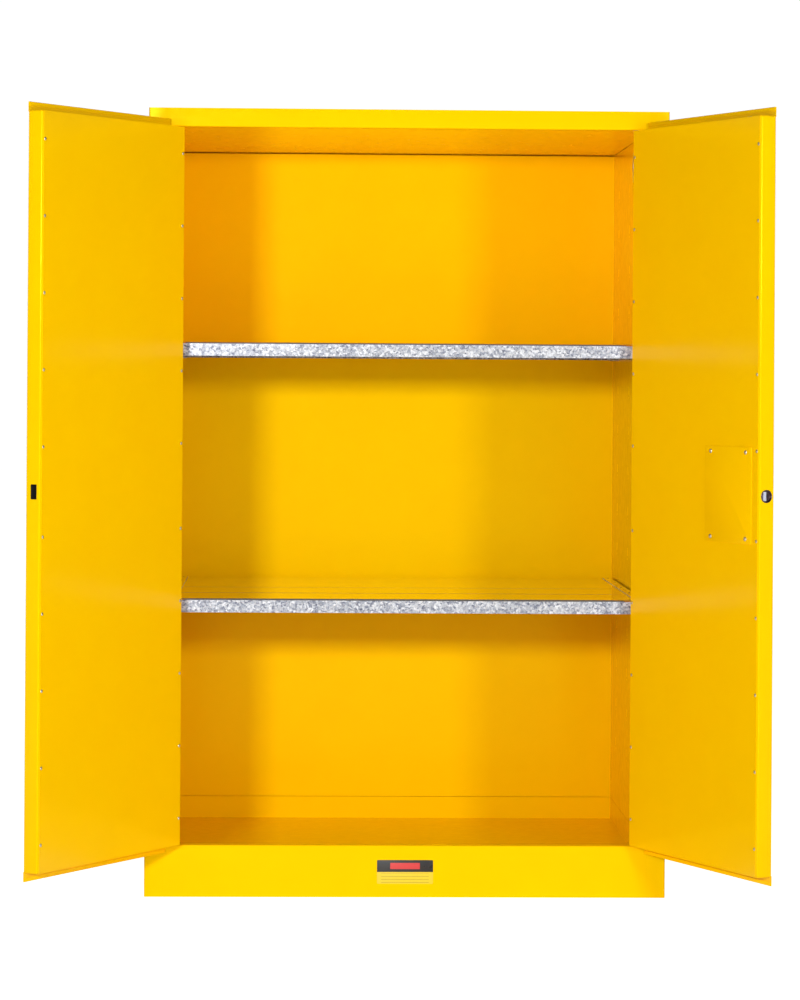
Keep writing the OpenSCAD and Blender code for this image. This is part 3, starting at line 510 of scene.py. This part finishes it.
def label_film(name, low_z, high_z):
    """Vinyl label: a black band over a pale band, a red bar in the black one and thin plain rules below."""
    f = Finish(name, specular=0.45)
    place = f.axes(f.place)
    aside = f.maths("ABSOLUTE", place["X"])
    share = f.maths("DIVIDE", f.maths("SUBTRACT", place["Z"], low_z), high_z - low_z)
    upper = f.maths("GREATER_THAN", share, 0.5)
    off_bar = f.maths("ABSOLUTE", f.maths("SUBTRACT", share, 0.75))
    bar = f.maths("MULTIPLY", f.maths("LESS_THAN", aside, 31 * MM), f.maths("LESS_THAN", off_bar, 0.13))
    wave = f.maths("ABSOLUTE", f.maths("SUBTRACT", f.maths("FRACT", f.maths("MULTIPLY", share, 8.0)), 0.5))
    rule = f.maths("MULTIPLY", f.maths("LESS_THAN", wave, 0.09), f.maths("LESS_THAN", aside, 50 * MM))
    rule = f.maths("MULTIPLY", rule, f.maths("LESS_THAN", share, 0.44))
    pale = f.blend(rule, (0.80, 0.60, 0.03), (0.48, 0.36, 0.02))
    band = f.blend(bar, (0.016, 0.015, 0.015), (0.62, 0.03, 0.03))
    ink = f.blend(upper, pale, band)
    wear = f.remap(f.noise(300.0, detail=4.0), 0.93, 1.05)
    f.set("Base Color", f.blend(1.0, ink, f.grey(wear), "MULTIPLY"))
    f.set("Roughness", f.remap(f.noise(40.0), 0.24, 0.36))
    f.bump((f.noise(900.0), 0.00001))
    return f.material


paint = powder_coat()
spangle = galvanised()
zinc = zinc_plate()
plain_steel = zinc_plate("plain_steel", (0.52, 0.52, 0.53))
dark_steel = zinc_plate("oiled_steel", (0.16, 0.11, 0.12))
blue_zinc = zinc_plate("blue_zinc", (0.66, 0.68, 0.80), 0.35)
chrome = bright_chrome()
black = black_plastic()
label_low, label_high = node_box("front_label")
label = label_film("label_film", float(label_low[2]), float(label_high[2]))

SLOT_FINISH = {
    "powder_coat": paint,
    "galvanised_steel": spangle,
    "zinc_plate": zinc,
    "hinge_steel": plain_steel,
    "bright_steel": chrome,
    "black_plastic": black,
    "label_film": label,
}
slot_of = {s["node"]: s["material_slot"] for s in frame["record"]["subparts"]}
for node_name, node_object in frame["nodes"].items():
    node_object.data.materials.clear()
    node_object.data.materials.append(SLOT_FINISH[slot_of[node_name]])
frame["nodes"]["centre_bolt"].data.materials[0] = blue_zinc


# ---------------------------------------------------------------- folded steelwork

BEND = 2.2 * MM  # middle radius of an ordinary fold
TIGHT = 0.75 * MM  # middle radius of a sharp fold
HEM = 8 * MM  # how far a door's lap folds back
WELD = 0.75 * MM  # how far a rail's ends sink into the side sheets
RETURN = 20 * MM  # width of the flanges that turn inwards
VENT_HOLE_R = 28.4 * MM
SPINDLE_HOLE_R = 7.5 * MM
BARREL_WALL = 1.5 * MM


def door_skin(side, name):
    """The outer sheet of a door: the plan section with its returns, and a hemmed lap above and below.

    The plan section is a bent path carried upwards between the laps. Each lap is a hairpin path in v
    and z carried along u; the inside of the hairpin is mitred by its distance from the rim.
    """
    low, high = door_box(f"{name}_door_skin", side)
    plug_low, plug_high = door_box(f"{name}_door_liner", side)
    u0, u1, v0, v1 = low[0], high[0], low[1], high[1]
    half = SHEET / 2
    face_u, step_v = u0 + 2.3 * MM, v0 + 3.2 * MM
    plan = [
        (u0 + RETURN, v1 - half), (u0 + half, v1 - half), (u0 + half, step_v + half),
        (face_u + half, step_v + half), (face_u + half, v0 + half), (u1 - half, v0 + half),
        (u1 - half, v1 - half), (u1 - RETURN, v1 - half),
    ]
    radii = [BEND, TIGHT, TIGHT, BEND - half, BEND, BEND]
    end = 1.5 * MM
    verts, faces = folded_sheet(plan, radii, SHEET, plug_low[2] + end, plug_high[2] - end)
    shells = [(hang(verts, side), faces)]
    for way, rim, start in ((1, high[2], plug_high[2] - end), (-1, low[2], plug_low[2] + end)):
        tip = rim - way * half
        hem_v = v0 + SHEET + half
        lap = [(v0 + half, start), (v0 + half, tip), (hem_v, tip), (hem_v, rim - way * HEM)]

        def mitre(section):
            inner = np.clip((section[:, 0] - v0 - SHEET) / (0.2 * MM), 0, 1)
            return inner * (0.6 * MM + np.abs(rim - section[:, 1]))

        verts, faces = folded_sheet(lap, [half, half], SHEET, face_u, u1, mitre)
        shells.append((hang(swap(verts, (2, 0, 1)), side), faces))
    sheet, door = join_shells(*shells), f"{name}_door"
    return add_piece(f"{door}_outer_sheet", *sheet, paint, door, f"{door}_skin")


def round_cutter(radius, low, high, order, at):
    """A cylinder from low to high along the last local axis, reordered and moved to a place."""
    verts, faces = turned([(radius, low), (radius, high)])
    return swap(verts, order) + np.asarray(at), faces


def box_cutter(low, high):
    """A box between two corners."""
    low, high = np.asarray(low), np.asarray(high)
    corners = np.array([[x, y, z] for z in (0, 1) for y in (0, 1) for x in (0, 1)])
    verts = low + corners * (high - low)
    return verts, [(0, 2, 3, 1), (4, 5, 7, 6), (0, 1, 5, 4), (2, 6, 7, 3), (0, 4, 6, 2), (1, 3, 7, 5)]


left_skin = door_skin(-1, "left")
right_skin = door_skin(1, "right")

strike_low, strike_high = door_box("strike_box", -1)
lining = 1.5 * MM
verts, faces = box_cutter(
    (strike_high[0] - 5 * MM, strike_low[1] + lining, strike_low[2] + lining),
    (strike_high[0] + 5 * MM, strike_high[1] - lining, strike_high[2] - lining),
)
cut(left_skin, (hang(verts, -1), faces))

barrel_low, barrel_high = door_box("latch_barrel", 1)
barrel_mid = (barrel_low + barrel_high) / 2
barrel_r = (barrel_high[2] - barrel_low[2]) / 2
spindle_u = (door_box("handle_plate", 1)[0][0] + door_box("handle_plate", 1)[1][0]) / 2
latch_z = barrel_mid[2]
verts, faces = round_cutter(
    barrel_r + 0.05 * MM, -6 * MM, 6 * MM, (2, 0, 1), (barrel_high[0], barrel_mid[1], latch_z)
)
hole_verts, hole_faces = round_cutter(
    SPINDLE_HOLE_R, -4 * MM, 6 * MM, (0, 2, 1), (spindle_u, 0.8 * MM, latch_z)
)
cut(right_skin, (hang(verts, 1), faces), (hang(hole_verts, 1), hole_faces))


def outer_side(side, name, vent):
    """One side of the casing: rear flange, panel and front flange folded from one sheet, carried
    upwards, with the round hole of its vent."""
    low, high = node_box(f"outer_side_{name}")
    outside = high[0] if side > 0 else -low[0]
    inside = low[0] if side > 0 else -high[0]
    half = SHEET / 2
    rear = BACK_Y - 1.5 * SHEET
    plan = [
        (outside - RETURN, rear), (outside - half, rear),
        (outside - half, FRONT_Y + half), (inside, FRONT_Y + half),
    ]
    verts, faces = folded_sheet(plan, [BEND, BEND], SHEET, low[2], high[2])
    verts[:, 0] *= side
    piece = add_piece(f"casing_side_{name}", verts, faces, paint, "root", f"outer_side_{name}")
    cap_low, cap_high = node_box(f"vent_cap_{vent}")
    middle = (cap_low + cap_high) / 2
    cut(piece, round_cutter(VENT_HOLE_R, -0.02, 0.02, (2, 0, 1), (side * outside, middle[1], middle[2])))


outer_side(-1, "left", "low")
outer_side(1, "right", "high")


def front_rail(name, section, radii):
    """A rail of the door frame: its folded section in y and z carried across, with the rod's slot."""
    low, high = node_box(name)
    verts, faces = folded_sheet(section, radii, SHEET, low[0] - WELD, high[0] + WELD)
    piece = add_piece(f"{name}_folded", swap(verts, (2, 0, 1)), faces, paint, "root", name)
    openings = frame["record"]["physics"]["openings"]
    opening = next(o for o in openings if o["name"] == name.replace("rail", "rod_slot"))
    box_low, box_high = map(np.array, opening["box_m"])
    margin = np.array([2.5, 1.5, 0.0]) * MM
    outline = rounded_outline(*(box_high - box_low + 2 * margin)[:2], 2.5 * MM)
    verts, faces = soft_plate(outline, box_low[2], box_high[2], 0.1 * MM)
    verts[:, :2] += ((box_low + box_high) / 2)[:2]
    cut(piece, (verts, faces))


half = SHEET / 2
rear_web = rail_high[1] - half
under = rail_low[2] + half
front_rail(
    "top_rail",
    [(FRONT_Y + half, CABINET_H), (FRONT_Y + half, under), (rear_web, under), (rear_web, CABINET_H - SHEET)],
    [BEND, BEND],
)
sill = node_box("bottom_rail")[1][2] - half
front_rail(
    "bottom_rail",
    [(FRONT_Y + half, 0.0), (FRONT_Y + half, sill), (rear_web, sill), (rear_web, 0.0)],
    [BEND, BEND],
)


# ---------------------------------------------------------------- plates, latch, handle and caps

def plate_on_door(name, node, outline, edge, material):
    """A rounded plate that covers a right-door node: its outline in u and z, its faces along v."""
    low, high = door_box(node, 1)
    middle = (low + high) / 2
    verts, faces = soft_plate(outline(high - low), low[1], high[1], edge)
    verts = swap(verts, (0, 2, 1)) + np.array([middle[0], 0, middle[2]])
    return add_piece(name, hang(verts, 1), faces, material, "right_door", node)


plate_on_door("latch_cover", "access_plate", lambda s: rounded_outline(s[0], s[2], 2 * MM), 0.45 * MM, paint)
escutcheon = plate_on_door(
    "escutcheon", "handle_plate", lambda s: rounded_outline(s[0], s[2], 0.4999 * s[0], 12), 1.1 * MM, black
)
hole_verts, hole_faces = round_cutter(6.05 * MM, -0.02, 0.02, (0, 2, 1), (spindle_u, 0, latch_z))
cut(escutcheon, (hang(hole_verts, 1), hole_faces))


def cover_screws():
    """Four pan-head screws: a lathe profile with a rounded crown, and a cross sunk into each head."""
    low, high = door_box("access_plate_screws", 1)
    head_r = 4.5 * MM
    crown = np.linspace(0, math.pi / 2, 6)
    profile = [(2.0 * MM, -5.0 * MM), (2.0 * MM, 0.0), (head_r, 0.0)]
    profile += [(head_r * math.cos(a) ** 0.7 + 1e-5, 2.2 * MM * math.sin(a)) for a in crown[1:]]
    arm, deep = 2.4 * MM, 1.1 * MM
    shells, sinks = [], []
    base_v = high[1] - 2.2 * MM
    for u in (low[0] + head_r, high[0] - head_r):
        for z in (low[2] + head_r, high[2] - head_r):
            verts, faces = turned(profile, 24)
            shells.append((hang(swap(verts, (0, 2, 1)) + np.array([u, base_v, z]), 1), faces))
            for wide, tall in ((arm, 0.45 * MM), (0.45 * MM, arm)):
                verts, faces = box_cutter(
                    (u - wide, high[1] - deep, z - tall), (u + wide, high[1] + 1 * MM, z + tall)
                )
                sinks.append((hang(verts, 1), faces))
    screws = add_piece("cover_screws", *join_shells(*shells), zinc, "right_door", "access_plate_screws")
    cut(screws, *sinks)


cover_screws()


def latch_barrel():
    """The barrel round the bolt: a lathe piece with a rounded lip and a recess, cut by the bolt's hole."""
    length = barrel_high[0] - barrel_low[0]
    lip = 0.75 * MM
    bore = barrel_r - BARREL_WALL
    angles = np.linspace(0, math.pi, 7)
    rim_r = (barrel_r + bore) / 2
    rim = [(rim_r + lip * math.cos(a), length - lip + lip * math.sin(a)) for a in angles]
    profile = [(0.01 * MM, 0.0), (barrel_r, 0.0), *rim, (bore, length - 4 * MM), (0.01 * MM, length - 4 * MM)]
    verts, faces = turned(profile, 64)
    verts = swap(verts, (2, 0, 1)) + np.array([barrel_low[0], barrel_mid[1], latch_z])
    piece = add_piece("bolt_barrel", hang(verts, 1), faces, dark_steel, "right_door", "latch_barrel")
    pin, u, v = hinge_axes(1)
    bolt = node_points("centre_bolt") - pin
    tip = bolt[bolt @ u > (bolt @ u).max() - 8 * MM]
    play = 0.4 * MM
    low = np.array([barrel_low[0] - 1 * MM, (tip @ v).min() - play, tip[:, 2].min() - play])
    high = np.array([barrel_high[0] + 1 * MM, (tip @ v).max() + play, tip[:, 2].max() + play])
    verts, faces = box_cutter(low, high)
    cut(piece, (hang(verts, 1), faces))


latch_barrel()


def handle():
    """The lever and its hub. The lever's cross-sections are superellipses that narrow from the hub to a
    rounded tip, set along a line turned from straight down by the handle's travel; the hub is turned."""
    low, high = door_box("handle_lever", 1)
    plate_front = door_box("handle_plate", 1)[0][1]
    front, back = low[1], plate_front - 0.4 * MM
    hub_r, bore_r, bore_deep = 18 * MM, 8.08 * MM, 12 * MM
    hub = [
        (0.01 * MM, front + bore_deep), (bore_r, front + bore_deep), (bore_r, front + 0.6 * MM),
        (bore_r + 0.6 * MM, front), (hub_r - 2 * MM, front), (hub_r - 0.6 * MM, front + 0.6 * MM),
        (hub_r, front + 2 * MM), (hub_r, back - 1 * MM), (hub_r - 1 * MM, back), (0.01 * MM, back),
    ]
    verts, faces = turned(hub, 64)
    shells = [(swap(verts, (0, 2, 1)), faces)]
    turn = math.radians(JOINTS["handle_turn"]["range_deg"][1])
    long, thick = 129 * MM, 10 * MM
    along = np.linspace(0.06, 1.0, 40)
    angles = np.linspace(0, 2 * math.pi, 32, endpoint=False)
    power = 0.62
    across = np.sign(np.cos(angles)) * np.abs(np.cos(angles)) ** power
    through = np.sign(np.sin(angles)) * np.abs(np.sin(angles)) ** power
    tip = np.sqrt(np.clip(1 - np.clip((along - 0.92) / 0.0801, 0, 1) ** 2, 1e-6, 1))
    wide = (13 - 3.2 * along - 1.2 * np.sin(math.pi * along)) * MM * tip
    deep = thick / 2 * (1 - 0.12 * along) * np.maximum(tip, 0.05)
    mid = front + 6 * MM
    cos, sin = math.cos(turn), math.sin(turn)
    rings = []
    for s, w, d in zip(along, wide, deep):
        x, z = w * across, np.full(len(angles), -s * long)
        rings.append(np.column_stack([x * cos + z * sin, mid + d * through, -x * sin + z * cos]))
    shells.append(stack_rings(rings))
    verts, faces = join_shells(*shells)
    verts = verts + np.array([spindle_u, 0, latch_z])
    add_piece("lever_handle", hang(verts, 1), faces, black, "handle", "handle_lever")


handle()


def vent_cap(side, name):
    """A vent's screw cap: a turned head with a rounded rim and a hollow shank, and a square key recess."""
    low, high = node_box(f"vent_cap_{name}")
    middle = (low + high) / 2
    head_r = (high[2] - low[2]) / 2
    shank_r = head_r - 8.08 * MM
    out = high[0] if side > 0 else -low[0]
    inn = low[0] if side > 0 else -high[0]
    wall = CABINET_W / 2 + 0.3 * MM
    profile = [
        (0.01 * MM, out - 11 * MM), (shank_r - 5 * MM, out - 11 * MM), (shank_r - 5 * MM, inn),
        (shank_r - 0.6 * MM, inn), (shank_r, inn + 0.8 * MM), (shank_r, wall),
        (head_r - 0.5 * MM, wall), (head_r, wall + 0.6 * MM),
        (head_r, out - 2 * MM), (head_r - 0.6 * MM, out - 0.6 * MM), (head_r - 2 * MM, out), (0.01 * MM, out),
    ]
    verts, faces = turned(profile, 64)
    verts = swap(verts, (2, 0, 1)) * np.array([side, 1, 1]) + np.array([0, middle[1], middle[2]])
    piece = add_piece(f"vent_screw_cap_{name}", verts, faces, paint, f"vent_cap_{name}", f"vent_cap_{name}")
    recess = 13 * MM
    near, far = sorted((side * (out - 4 * MM), side * (out + 2 * MM)))
    low = (near, middle[1] - recess, middle[2] - recess)
    high = (far, middle[1] + recess, middle[2] + recess)
    cut(piece, box_cutter(low, high))


vent_cap(-1, "low")
vent_cap(1, "high")


def front_label_film():
    """The label: a thin plate with rounded corners, its faces along y."""
    low, high = node_box("front_label")
    size, middle = high - low, (low + high) / 2
    verts, faces = soft_plate(rounded_outline(size[0], size[2], 2.5 * MM), low[1], high[1], 0.1 * MM)
    verts = swap(verts, (0, 2, 1)) + np.array([middle[0], 0, middle[2]])
    add_piece("front_label_film", verts, faces, label, "root", "front_label")


front_label_film()


# ---------------------------------------------------------------- camera, light and floor

FOCAL = 3.362
CAMERA_AT = np.array([-0.2297, -7.4756, 1.0921])
YAW, PITCH, ROLL = np.radians([1.63, 0.15, -0.38])


def aim_camera():
    """The camera looks along f; right and down are turned about it by the roll."""
    ahead = np.array([math.sin(YAW) * math.cos(PITCH), math.cos(YAW) * math.cos(PITCH), math.sin(PITCH)])
    level = np.array([math.cos(YAW), -math.sin(YAW), 0.0])
    down = np.cross(ahead, level)
    right = level * math.cos(ROLL) + down * math.sin(ROLL)
    down = -level * math.sin(ROLL) + down * math.cos(ROLL)
    data = bpy.data.cameras.new("camera")
    data.sensor_width = 36.0
    data.lens = 36.0 * FOCAL
    data.shift_x = 0.0056
    data.shift_y = -0.1327
    data.clip_end = 60.0
    camera = bpy.data.objects.new("camera", data)
    bpy.context.scene.collection.objects.link(camera)
    turn = np.column_stack([right, -down, -ahead])
    camera.matrix_world = Matrix.Translation(Vector(CAMERA_AT)) @ Matrix(turn.tolist()).to_4x4()
    bpy.context.scene.camera = camera


def soft_box(name, place, aim, power, width, height):
    """A rectangular studio light at a place, turned to face its aim."""
    data = bpy.data.lights.new(name, "AREA")
    data.shape = "RECTANGLE"
    data.size, data.size_y = width, height
    data.energy = power
    light = bpy.data.objects.new(name, data)
    bpy.context.scene.collection.objects.link(light)
    light.location = place
    light.rotation_euler = (Vector(place) - Vector(aim)).to_track_quat("Z", "Y").to_euler()
    return light


def seen_and_shed(nodes, links, seen, shed, socket):
    """Feeds a strength socket one value for what the camera sees and one for the light it sheds."""
    path = nodes.new("ShaderNodeLightPath")
    level = nodes.new("ShaderNodeMapRange")
    level.inputs["To Min"].default_value = shed
    level.inputs["To Max"].default_value = seen
    links.new(path.outputs["Is Camera Ray"], level.inputs["Value"])
    links.new(level.outputs["Result"], socket)


def white_world(strength):
    """White surroundings, seen white by the camera and softer as light."""
    world = bpy.data.worlds.new("studio")
    bpy.context.scene.world = world
    world.use_nodes = True
    nodes, links = world.node_tree.nodes, world.node_tree.links
    background = nodes["Background"]
    background.inputs["Color"].default_value = (1.0, 1.0, 1.0, 1.0)
    seen_and_shed(nodes, links, 1.02, strength, background.inputs["Strength"])


def pale_floor(glow):
    """A wide pale floor that glows a little, like a lit sweep of paper."""
    half = 30.0
    corners = [(-half, -half, 0), (half, -half, 0), (half, half, 0), (-half, half, 0)]
    mesh = bpy.data.meshes.new("floor")
    mesh.from_pydata(corners, [], [(0, 1, 2, 3)])
    floor = bpy.data.objects.new("floor", mesh)
    bpy.context.scene.collection.objects.link(floor)
    material = bpy.data.materials.new("pale_paper")
    material.use_nodes = True
    shader = material.node_tree.nodes["Principled BSDF"]
    shader.inputs["Base Color"].default_value = (0.9, 0.9, 0.9, 1.0)
    shader.inputs["Roughness"].default_value = 0.9
    shader.inputs["Specular IOR Level"].default_value = 0.0
    shader.inputs["Emission Color"].default_value = (1.0, 1.0, 1.0, 1.0)
    tree = material.node_tree
    seen_and_shed(tree.nodes, tree.links, 1.0, glow, shader.inputs["Emission Strength"])
    mesh.materials.append(material)
    floor.location.z = float(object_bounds()[0][2]) - 0.0005
    floor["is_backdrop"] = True


aim_camera()
MIDDLE = (0.0, 0.0, 0.85)
soft_box("light_left", (-1.61, -6.45, 1.65), MIDDLE, 180.0, 0.5, 0.36)
soft_box("light_right", (2.49, -6.45, 1.65), MIDDLE, 116.0, 0.66, 0.36)
fill = soft_box("fill_front", (0.0, -5.5, 0.45), (0.0, 0.0, 0.6), 58.0, 3.4, 2.4)
inside = soft_box("fill_inside", (0.0, FRONT_Y + 0.03, 0.86), (0.0, 0.4, 0.86), 1.3, 0.98, 1.42)
inside.visible_camera = False  # it stands in the door opening and only lifts the inside
for light in (fill, inside):
    light.visible_glossy = False
white_world(0.12)
pale_floor(0.30)

scene = bpy.context.scene
scene.view_settings.view_transform = "Standard"
scene.view_settings.look = "None"
scene.view_settings.exposure = 0.0
scene.view_settings.gamma = 1.0
scene.cycles.max_bounces = 16
scene.cycles.diffuse_bounces = 10
